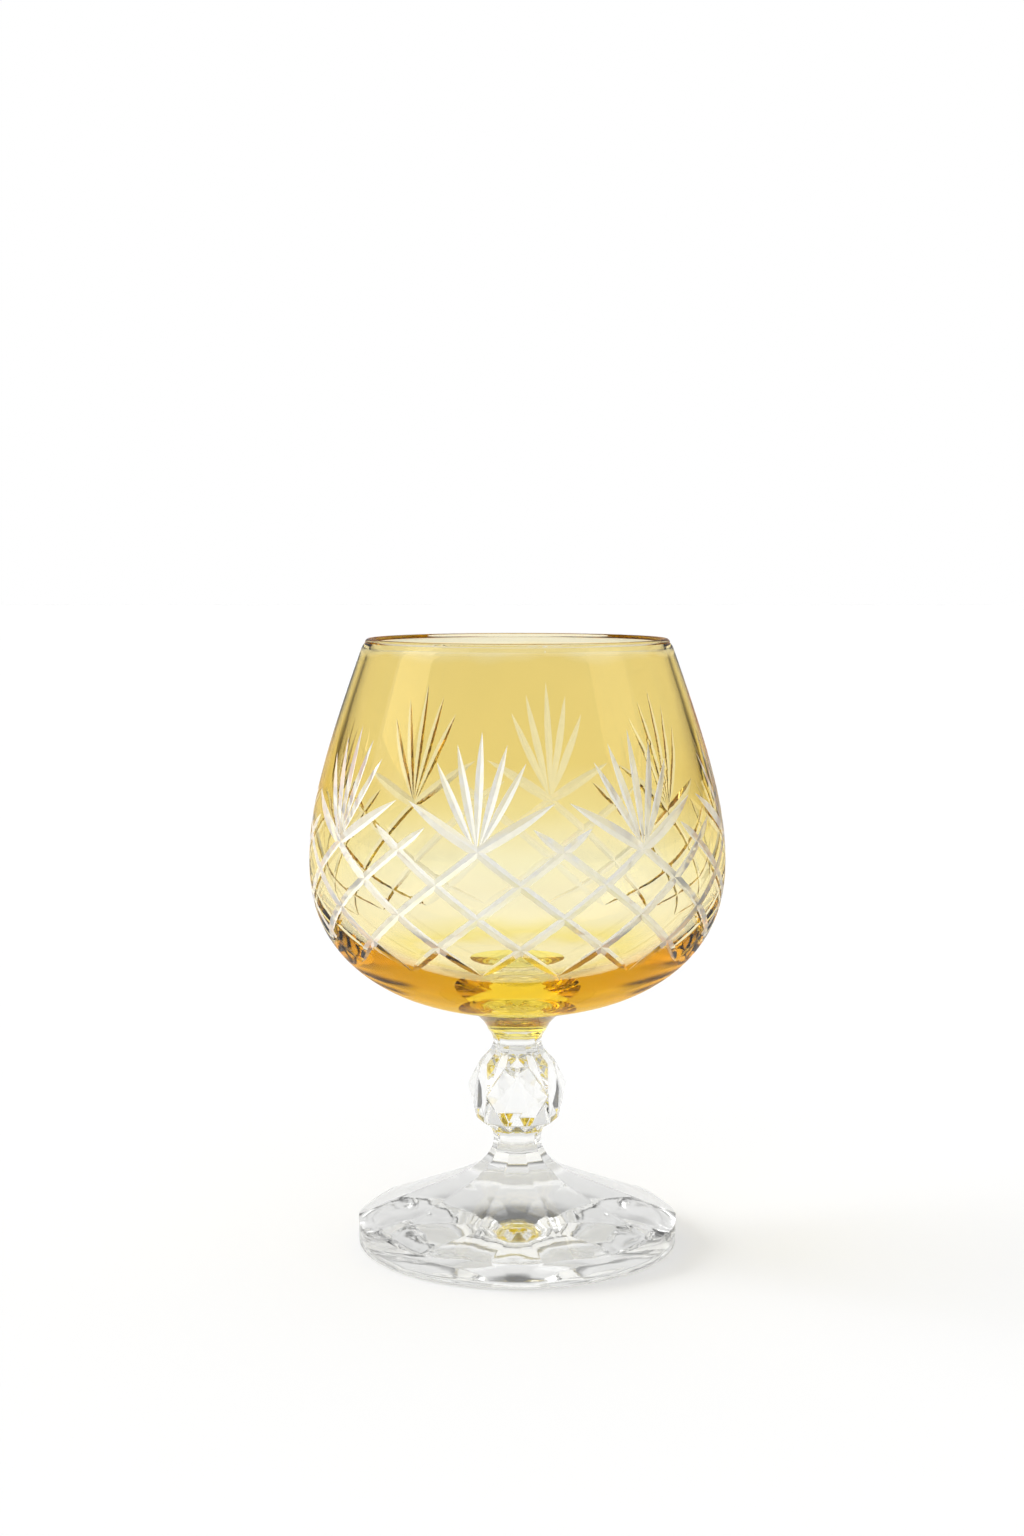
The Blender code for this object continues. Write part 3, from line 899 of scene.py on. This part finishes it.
def amber_stain_and_painted_light():
    """A thin stain fired into the outside, deepest under the bowl, with painted light in it: paler over the
    cuts as if lit from behind, and painted highlights at the lower edge and the lip.
    """
    finish, streak = new_glass("amber_stain_and_painted_light", 90.0, 0.01 * MM, 1200.0, 0.02)
    place = finish.add("ShaderNodeTexCoord")
    split = finish.add("ShaderNodeSeparateXYZ")
    height = finish.add("ShaderNodeMapRange")
    low, high = STAIN_AND_PAINTED_LIGHT[0][0], STAIN_AND_PAINTED_LIGHT[-1][0]
    height.inputs["From Min"].default_value = low
    height.inputs["From Max"].default_value = high
    drift = finish.add("ShaderNodeMath", operation="MULTIPLY_ADD")
    drift.inputs[1].default_value = STAIN_DRIFT
    settle = finish.add("ShaderNodeMath", operation="SUBTRACT")
    settle.inputs[1].default_value = STAIN_DRIFT / 2
    stain_and_light_ramp = finish.add("ShaderNodeValToRGB")
    ramp = stain_and_light_ramp.color_ramp
    for at, colour in STAIN_AND_PAINTED_LIGHT[1:-1]:
        ramp.elements.new((at - low) / (high - low)).color = (*colour, 1.0)
    ramp.elements[0].color = (*STAIN_AND_PAINTED_LIGHT[0][1], 1.0)
    ramp.elements[-1].color = (*STAIN_AND_PAINTED_LIGHT[-1][1], 1.0)
    finish.join(place.outputs["Object"], split.inputs[0])
    finish.join(split.outputs["Z"], height.inputs["Value"])
    finish.join(streak, drift.inputs[0])
    finish.join(height.outputs["Result"], drift.inputs[2])
    finish.join(drift.outputs[0], settle.inputs[0])
    finish.join(settle.outputs[0], stain_and_light_ramp.inputs["Fac"])
    finish.join(stain_and_light_ramp.outputs["Color"], finish.shader.inputs["Base Color"])
    finish.show_wall(finish.softened())
    return finish.material


def lip_painted_shade():
    """A brown line painted along the crest of the lip: painted shade for the dark edge of the rim."""
    finish, streak = new_glass("lip_painted_shade", 90.0, 0.01 * MM, 1200.0, 0.02)
    colour_along(streak, finish, (0.52, 0.27, 0.04), (0.64, 0.38, 0.08))
    finish.show_wall(finish.softened())
    return finish.material


def fused_seam(name, colour):
    """The inside of a fused joint: no surface to see, only what stain is shut in."""
    finish = Finish(name)
    film = finish.add("ShaderNodeBsdfTransparent")
    film.inputs["Color"].default_value = (*colour, 1.0)
    finish.tree.nodes.remove(finish.shader)
    finish.join(film.outputs[0], finish.tree.nodes["Material Output"].inputs["Surface"])
    return finish.material


pressed = pressed_crystal("pressed_crystal", 160.0, 0.01 * MM)
underside = pressed_crystal("pressed_underside", UNDER_SCALE, UNDER_WAVE)
blown = blown_crystal()
satin_cut = cut_crystal("satin_cut", SATIN_CLEAR, 0.15)
bright_cut = cut_crystal("bright_cut", BRIGHT_CLEAR, 0.06)
amber = amber_stain_and_painted_light()
lip = lip_painted_shade()
clear_seam = fused_seam("fused_seam", (1.0, 1.0, 1.0))
amber_seam = fused_seam("stained_seam", SEAM_STAIN)


def assign(piece, slots, choose):
    """Gives each face the slot that a test of its centre and normal picks."""
    piece.data.materials.clear()
    for material in slots:
        piece.data.materials.append(material)
    for face in piece.data.polygons:
        face.material_index = choose(face.center, face.normal)


def is_cap(centre, normal, heights):
    return abs(normal.z) > 0.999 and any(abs(centre.z - height) < CAP_LEVEL for height in heights)


# Assembly


def bowl_slot(centre, normal):
    """0 for the stain outside, with its painted light, 1 for the clear inside, 2 for the seam and 3 for the
    lip's painted dark line.
    """
    if is_cap(centre, normal, (BOWL_SEAM,)):
        return 2
    # Painted shade: the crest of the lip takes the painted brown line
    if centre.z > RIM_HEIGHT - LIP_LINE:
        return 3
    return 0 if normal.xy.dot(centre.xy) > 0 else 1


bowl = bowl_blank()
assign(bowl, (amber, blown, amber_seam, lip), bowl_slot)
cut_bowl(bowl, satin_cut, bright_cut)
finish_surface(bowl, BOWL_SMOOTH, False)

lower = lower_stem()
foot = slice_off(lower, "foot_glass", None, FOOT_SEAM)
lower_neck = slice_off(lower, "lower_neck_glass", FOOT_SEAM, None)
bpy.data.objects.remove(lower)
upper = upper_stem()
upper_neck = slice_off(upper, "upper_neck_glass", None, MERESE_BASE)
merese = slice_off(upper, "merese_glass", MERESE_BASE, None)
bpy.data.objects.remove(upper)
ball = knop()

SEAMS = (FOOT_SEAM, KNOP_BASE, KNOP_TOP, MERESE_BASE, BOWL_SEAM)


def stem_slot(centre, normal):
    """0 for the outside, 1 for the seams and 2 for the hollow under the foot."""
    if is_cap(centre, normal, SEAMS):
        return 1
    return 2 if normal.z < -0.5 and centre.z < FOOT_RIM[1] else 0


for piece in (foot, lower_neck, ball, upper_neck, merese):
    slots = (pressed, clear_seam, underside) if piece == foot else (pressed, clear_seam)
    assign(piece, slots, stem_slot)
    finish_surface(piece, STEM_SMOOTH, True)

for piece, node, slot in (
    (bowl, "bowl", "amber_crystal"),
    (merese, "merese", "clear_crystal"),
    (upper_neck, "upper_neck", "clear_crystal"),
    (ball, "knop", "clear_crystal"),
    (lower_neck, "lower_neck", "clear_crystal"),
    (foot, "foot", "clear_crystal"),
):
    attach(piece, "root")
    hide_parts(node)


# Studio


def feed(tree, value, socket):
    """Sets a socket to a number, or joins another socket to it."""
    if isinstance(value, float):
        socket.default_value = value
    else:
        tree.links.new(value, socket)


def reckon(tree, operation, *values):
    node = tree.nodes.new("ShaderNodeMath")
    node.operation = operation
    node.use_clamp = True
    for value, socket in zip(values, node.inputs):
        feed(tree, value, socket)
    return node.outputs[0]


def blend(tree, share, plain, other):
    node = tree.nodes.new("ShaderNodeMix")
    feed(tree, share, node.inputs["Factor"])
    feed(tree, plain, node.inputs["A"])
    feed(tree, other, node.inputs["B"])
    return node.outputs["Result"]


def rise(tree, value, start, full):
    """Climbs smoothly from 0 to 1 while a value goes from start to full."""
    node = tree.nodes.new("ShaderNodeMapRange")
    node.interpolation_type = "SMOOTHSTEP"
    node.inputs["From Min"].default_value = start
    node.inputs["From Max"].default_value = full
    tree.links.new(value, node.inputs["Value"])
    return node.outputs["Result"]


def height_of(elevation):
    """Height on a unit sphere of a place in the sky, from its elevation in degrees."""
    return math.sin(math.radians(elevation))


def through_glass(tree, path):
    """1 for a ray that glass mirrors or lets through."""
    return reckon(tree, "MAXIMUM", path.outputs["Is Glossy Ray"], path.outputs["Is Transmission Ray"])


def lay_floor():
    """A pale floor that takes the shadow, lifted to white where it is seen."""
    deselect()
    bpy.ops.mesh.primitive_plane_add(size=FLOOR_SIZE, location=(0.0, 0.0, -FLOOR_DROP))
    floor = bpy.context.object
    floor.name = "floor"
    material = bpy.data.materials.new("pale_floor")
    material.use_nodes = True
    tree = material.node_tree
    tree.nodes.clear()
    output = tree.nodes.new("ShaderNodeOutputMaterial")
    both = tree.nodes.new("ShaderNodeAddShader")
    paint = tree.nodes.new("ShaderNodeBsdfDiffuse")
    paint.inputs["Color"].default_value = (FLOOR_COLOUR, FLOOR_COLOUR, FLOOR_COLOUR, 1.0)
    glow = tree.nodes.new("ShaderNodeEmission")
    glow.inputs["Color"].default_value = (1.0, 1.0, 1.0, 1.0)
    path = tree.nodes.new("ShaderNodeLightPath")
    seen = reckon(tree, "MAXIMUM", path.outputs["Is Camera Ray"], through_glass(tree, path))
    tree.links.new(reckon(tree, "MULTIPLY", seen, FLOOR_GLOW), glow.inputs["Strength"])
    tree.links.new(paint.outputs[0], both.inputs[0])
    tree.links.new(glow.outputs[0], both.inputs[1])
    tree.links.new(both.outputs[0], output.inputs["Surface"])
    floor.data.materials.append(material)


def set_world():
    """A soft sky that lights the floor, and a white one that is seen behind the glass.

    Glass shows a third: white at the horizon and overhead, grey between, with a dark card at each side.
    """
    world = bpy.data.worlds.new("studio")
    bpy.context.scene.world = world
    world.use_nodes = True
    tree = world.node_tree
    tree.nodes.clear()
    output = tree.nodes.new("ShaderNodeOutputWorld")
    sky = tree.nodes.new("ShaderNodeBackground")
    sky.inputs["Color"].default_value = (1.0, 1.0, 1.0, 1.0)
    place = tree.nodes.new("ShaderNodeTexCoord")
    split = tree.nodes.new("ShaderNodeSeparateXYZ")
    tree.links.new(place.outputs["Generated"], split.inputs[0])
    height = split.outputs["Z"]
    soft = tree.nodes.new("ShaderNodeMapRange")
    soft.inputs["To Min"].default_value = SKY_LOW
    soft.inputs["To Max"].default_value = SKY_HIGH
    tree.links.new(height, soft.inputs["Value"])
    rings = tree.nodes.new("ShaderNodeValToRGB")
    for end in rings.color_ramp.elements:
        end.color = (1.0, 1.0, 1.0, 1.0)
    for elevation, level in GLASS_SKY:
        rings.color_ramp.elements.new(height_of(elevation)).color = (level, level, level, 1.0)
    tree.links.new(height, rings.inputs["Fac"])
    aside = rise(tree, reckon(tree, "ABSOLUTE", split.outputs["X"]), CARD_FROM, CARD_TO)
    low = rise(tree, height, height_of(CARD_TOP), height_of(CARD_TOP - CARD_EDGE))
    cards = blend(tree, reckon(tree, "MULTIPLY", aside, low), rings.outputs["Color"], CARD)
    path = tree.nodes.new("ShaderNodeLightPath")
    glass = reckon(tree, "SUBTRACT", through_glass(tree, path), path.outputs["Diffuse Depth"])
    lit = blend(tree, glass, soft.outputs["Result"], cards)
    shown = blend(tree, path.outputs["Is Camera Ray"], lit, 1.0)
    tree.links.new(shown, sky.inputs["Strength"])
    tree.links.new(sky.outputs[0], output.inputs["Surface"])


def softbox(name, azimuth, elevation, distance, width, height, radiance):
    """A soft panel turned to the glass, which shows in it but doesn't light the floor."""
    deselect()
    a, e = math.radians(azimuth), math.radians(elevation)
    place = Vector((math.sin(a) * math.cos(e), -math.cos(a) * math.cos(e), math.sin(e))) * distance
    target = Vector((0.0, 0.0, LAMP_TARGET))
    bpy.ops.object.light_add(type="AREA", location=place + target)
    lamp = bpy.context.object
    lamp.name = name
    lamp.rotation_euler = place.to_track_quat("Z", "Y").to_euler()
    lamp.data.shape = "RECTANGLE"
    lamp.data.size = width
    lamp.data.size_y = height
    lamp.data.energy = radiance * math.pi * width * height
    lamp.visible_camera = False
    lamp.visible_diffuse = False


def key_light():
    """Low soft light from the left, which lays the foot's shadow to its right."""
    deselect()
    way = Vector(KEY_WAY)
    bpy.ops.object.light_add(type="SUN", rotation=way.to_track_quat("-Z", "Y").to_euler())
    lamp = bpy.context.object
    lamp.name = "key"
    lamp.data.energy = KEY_STRENGTH
    lamp.data.angle = math.radians(KEY_SPREAD)
    lamp.visible_glossy = False
    lamp.visible_transmission = False


def set_camera():
    deselect()
    bpy.ops.object.camera_add(location=CAMERA_PLACE, rotation=(math.radians(CAMERA_TILT), 0.0, 0.0))
    camera = bpy.context.object
    camera.data.lens = CAMERA_LENS
    camera.data.sensor_width = 36.0
    bpy.context.scene.camera = camera


lay_floor()
set_world()
softbox("left_softbox", -84.0, 40.0, 1.2, 0.6, 1.1, 2.2)
softbox("right_softbox", 72.0, 40.0, 1.2, 0.6, 1.0, 1.1)
key_light()
set_camera()

cycles = bpy.context.scene.cycles
cycles.max_bounces = 32
cycles.transmission_bounces = 32
cycles.glossy_bounces = 16
cycles.transparent_max_bounces = 32
bpy.context.scene.view_settings.view_transform = "Standard"
